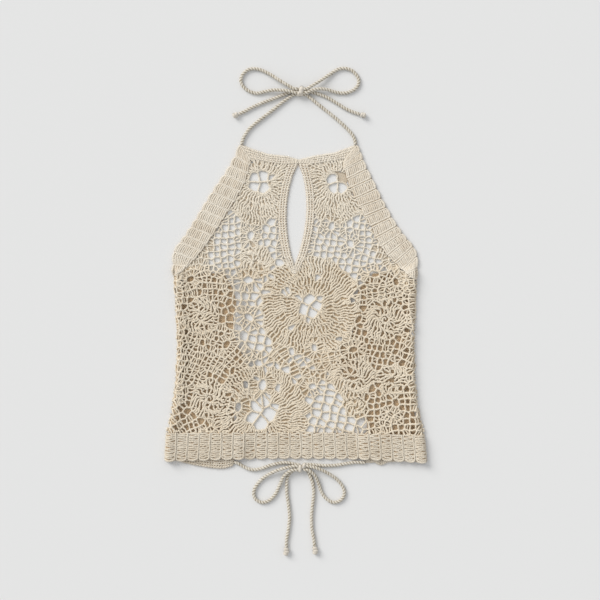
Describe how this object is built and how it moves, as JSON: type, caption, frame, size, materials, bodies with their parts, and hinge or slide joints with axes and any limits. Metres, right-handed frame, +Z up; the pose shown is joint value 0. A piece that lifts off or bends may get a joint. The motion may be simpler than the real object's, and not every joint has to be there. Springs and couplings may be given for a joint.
{
  "type": "crochet halter top",
  "caption": "Openwork crochet halter top laid flat, with a keyhole under the neck, ribbed armhole and hem bands, open tie back and cord bows at neck and back.",
  "frame": {"origin": "Middle of the garment without its cords, on the surface it lies on.", "axes": "+X to the right of the front as seen from above, +Y from the hem to the neck, +Z up from the surface, out of the front."},
  "size_m": [0.407, 0.756, 0.0122],
  "materials": {
    "cotton_cream": "matte",
    "cotton_back": "matte",
    "cotton_cord": "matte"
  },
  "bodies": {
    "root": {"front_lace": "cotton_cream", "keyhole_edge_left": "cotton_cream", "keyhole_edge_right": "cotton_cream", "neck_band": "cotton_cream", "arm_band_left": "cotton_cream", "arm_band_right": "cotton_cream", "hem_band": "cotton_cream", "back_panel_left": "cotton_back", "back_panel_right": "cotton_back", "back_hem_left": "cotton_back", "back_hem_right": "cotton_back", "neck_knot": "cotton_cord", "neck_strap_left": "cotton_cord", "neck_strap_right": "cotton_cord", "neck_loop_left": "cotton_cord", "neck_loop_right": "cotton_cord", "neck_end_left": "cotton_cord", "neck_end_left_knot": "cotton_cord", "neck_end_right": "cotton_cord", "neck_end_right_knot": "cotton_cord", "back_knot": "cotton_cord", "back_strap_left": "cotton_cord", "back_strap_right": "cotton_cord", "back_loop_left": "cotton_cord", "back_loop_right": "cotton_cord", "back_end_left": "cotton_cord", "back_end_left_knot": "cotton_cord", "back_end_right": "cotton_cord", "back_end_right_knot": "cotton_cord"}
  },
  "joints": []
}
